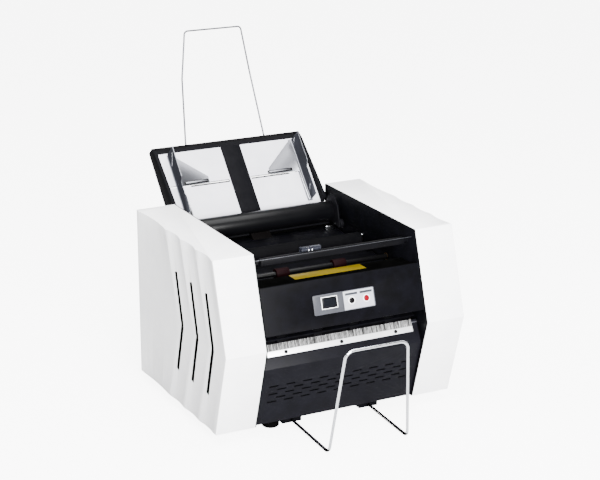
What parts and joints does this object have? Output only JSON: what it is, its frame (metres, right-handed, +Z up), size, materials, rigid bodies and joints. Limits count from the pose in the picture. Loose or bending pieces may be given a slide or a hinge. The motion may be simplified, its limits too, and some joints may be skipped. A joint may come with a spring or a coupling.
{
  "type": "paper folding machine",
  "caption": "Desktop paper folding machine: leaning feed tray with coupled side guides, folding rollers driven by gears, brush exit and sliding wire stop.",
  "frame": {"origin": "centre of the bounding box on the floor under the rubber feet", "axes": "+Z up, -Y towards the front with the control plate, +X to the right seen from the front"},
  "size_m": [0.5, 0.7074, 0.6655],
  "materials": {
    "cover_white": "smooth white powder coat",
    "black_steel": "satin black powder coat",
    "black_plastic": "fine grained black moulding",
    "black_gloss": "polished black tube",
    "black_rubber": "matt black rubber",
    "roller_rubber": "ground dark rubber sleeve",
    "red_rubber": "red rubber wheel",
    "pad_rubber": "brown separator rubber",
    "belt_rubber": "black flat belt",
    "zinc_steel": "bright zinc plated steel",
    "black_oxide": "blackened steel shaft",
    "brush_aluminium": "natural extruded strip",
    "bar_aluminium": "dark anodised bar",
    "brush_bristle": "pale conductive bristles",
    "control_silver": "satin silver plate",
    "display_plastic": "white bezel with a dark screen",
    "button_black": "black key",
    "button_red": "red key",
    "circuit_board": "green circuit board",
    "clear_acrylic": "polished clear block",
    "tray_white": "pale grey powder coat",
    "guide_steel": "brushed sheet steel",
    "gear_nylon": "natural nylon",
    "brass_gear": "turned brass",
    "motor_steel": "grey painted motor can",
    "chrome_wire": "bright chrome wire"
  },
  "bodies": {
    "machine": {"left_cover": "cover_white", "right_cover": "cover_white", "left_side_plate": "black_steel", "right_side_plate": "black_steel", "base_plate": "black_steel", "rear_panel": "black_steel", "upper_front_panel": "black_steel", "lower_front_panel": "black_steel", "rubber_feet": "black_rubber", "tie_rods": "zinc_steel", "brush_holder": "brush_aluminium", "exit_brush": "brush_bristle", "brush_screws": "zinc_steel", "control_plate": "control_silver", "display_window": "display_plastic", "control_board": "circuit_board", "front_bar": "bar_aluminium", "clear_block": "clear_acrylic", "deck_plate": "black_steel", "tray_frame": "black_plastic", "left_tray_panel": "tray_white", "right_tray_panel": "tray_white", "tray_centre_strip": "black_plastic", "paper_support_wire": "chrome_wire", "feed_roller_cover": "black_gloss", "cover_arms": "black_plastic", "separator_pad": "pad_rubber", "drive_motor": "motor_steel", "upper_fold_plate": "black_steel", "lower_fold_plate": "black_steel", "exit_guide": "black_steel", "shaft_bushes": "brass_gear", "feed_belt": "belt_rubber", "exit_belt": "belt_rubber", "power_inlet": "black_plastic"},
    "left_guide": {"left_side_guide": "guide_steel", "left_guide_rack": "gear_nylon"},
    "right_guide": {"right_side_guide": "guide_steel", "right_guide_rack": "gear_nylon"},
    "guide_pinion_body": {"guide_pinion": "gear_nylon"},
    "start_key": {"start_button": "button_black"},
    "stop_key": {"stop_button": "button_red"},
    "lever": {"release_lever": "chrome_wire"},
    "feed_roller": {"feed_shaft": "black_oxide", "feed_tyres": "black_rubber"},
    "roller_1": {"fold_roller_1": "roller_rubber", "fold_gear_1": "gear_nylon"},
    "roller_2": {"fold_roller_2": "roller_rubber", "fold_gear_2": "gear_nylon"},
    "roller_3": {"fold_roller_3": "roller_rubber", "fold_gear_3": "gear_nylon"},
    "roller_4": {"fold_roller_4": "roller_rubber", "fold_gear_4": "gear_nylon"},
    "drive_gear_body": {"drive_gear": "gear_nylon"},
    "motor_pinion_body": {"motor_pinion": "brass_gear"},
    "exit_roller_body": {"exit_roller": "roller_rubber"},
    "hold_down": {"hold_down_shaft": "black_oxide", "hold_down_wheels": "red_rubber"},
    "bail": {"output_bail": "chrome_wire"},
    "rocker": {"power_rocker": "button_black"}
  },
  "joints": [
    {"name": "left_guide_slide", "type": "slide", "parent": "machine", "child": "left_guide", "axis": [1, 0, 0], "range_m": [-0.014, 0.045]},
    {"name": "right_guide_slide", "type": "slide", "parent": "machine", "child": "right_guide", "axis": [1, 0, 0], "range_m": [-0.045, 0.014]},
    {"name": "guide_pinion_turn", "type": "hinge", "parent": "machine", "child": "guide_pinion_body", "pos_m": [0, 0.22398, 0.3762], "axis": [0, -0.7516, 0.6596], "range_deg": [-218, 70]},
    {"name": "start_press", "type": "slide", "parent": "machine", "child": "start_key", "axis": [0, -0.9549, 0.2968], "range_m": [-0.0012, 0], "stiffness_N_per_m": 400},
    {"name": "stop_press", "type": "slide", "parent": "machine", "child": "stop_key", "axis": [0, -0.9549, 0.2968], "range_m": [-0.0012, 0], "stiffness_N_per_m": 400},
    {"name": "release_lever_tilt", "type": "hinge", "parent": "machine", "child": "lever", "pos_m": [0.15, 0.11822, 0.2648], "axis": [1, 0, 0], "range_deg": [-12, 12]},
    {"name": "feed_roller_spin", "type": "hinge", "parent": "machine", "child": "feed_roller", "pos_m": [0, 0.13523, 0.304], "axis": [1, 0, 0], "continuous": true},
    {"name": "fold_roller_1_spin", "type": "hinge", "parent": "machine", "child": "roller_1", "pos_m": [0, 0.01603, 0.2804], "axis": [1, 0, 0], "continuous": true},
    {"name": "fold_roller_2_spin", "type": "hinge", "parent": "machine", "child": "roller_2", "pos_m": [0, 0.01603, 0.25], "axis": [1, 0, 0], "continuous": true},
    {"name": "fold_roller_3_spin", "type": "hinge", "parent": "machine", "child": "roller_3", "pos_m": [0, -0.01438, 0.25], "axis": [1, 0, 0], "continuous": true},
    {"name": "fold_roller_4_spin", "type": "hinge", "parent": "machine", "child": "roller_4", "pos_m": [0, -0.01438, 0.2196], "axis": [1, 0, 0], "continuous": true},
    {"name": "drive_gear_spin", "type": "hinge", "parent": "machine", "child": "drive_gear_body", "pos_m": [0, -0.01438, 0.174], "axis": [1, 0, 0], "continuous": true},
    {"name": "motor_pinion_spin", "type": "hinge", "parent": "machine", "child": "motor_pinion_body", "pos_m": [0, -0.05618, 0.174], "axis": [1, 0, 0], "continuous": true},
    {"name": "exit_roller_spin", "type": "hinge", "parent": "machine", "child": "exit_roller_body", "pos_m": [0, -0.18077, 0.18], "axis": [1, 0, 0], "continuous": true},
    {"name": "hold_down_spin", "type": "hinge", "parent": "machine", "child": "hold_down", "pos_m": [0, -0.08678, 0.274], "axis": [1, 0, 0], "continuous": true},
    {"name": "bail_slide", "type": "slide", "parent": "machine", "child": "bail", "axis": [0, 0.9987, 0.0506], "range_m": [0, 0.08]},
    {"name": "power_rocker_tilt", "type": "hinge", "parent": "machine", "child": "rocker", "pos_m": [0.115, 0.16853, 0.081], "axis": [1, 0, 0], "range_deg": [-9, 9]}
  ],
  "couplings": [
    {"joint": "right_guide_slide", "follows": "left_guide_slide", "ratio": -1},
    {"joint": "guide_pinion_turn", "follows": "left_guide_slide", "rad_per_m": -83.333},
    {"joint": "fold_roller_3_spin", "follows": "fold_roller_4_spin", "ratio": -1},
    {"joint": "fold_roller_2_spin", "follows": "fold_roller_4_spin", "ratio": 1},
    {"joint": "fold_roller_1_spin", "follows": "fold_roller_4_spin", "ratio": -1},
    {"joint": "feed_roller_spin", "follows": "fold_roller_4_spin", "ratio": -1},
    {"joint": "exit_roller_spin", "follows": "fold_roller_4_spin", "ratio": 1},
    {"joint": "drive_gear_spin", "follows": "fold_roller_4_spin", "ratio": -0.5},
    {"joint": "motor_pinion_spin", "follows": "fold_roller_4_spin", "ratio": 1.3333}
  ]
}
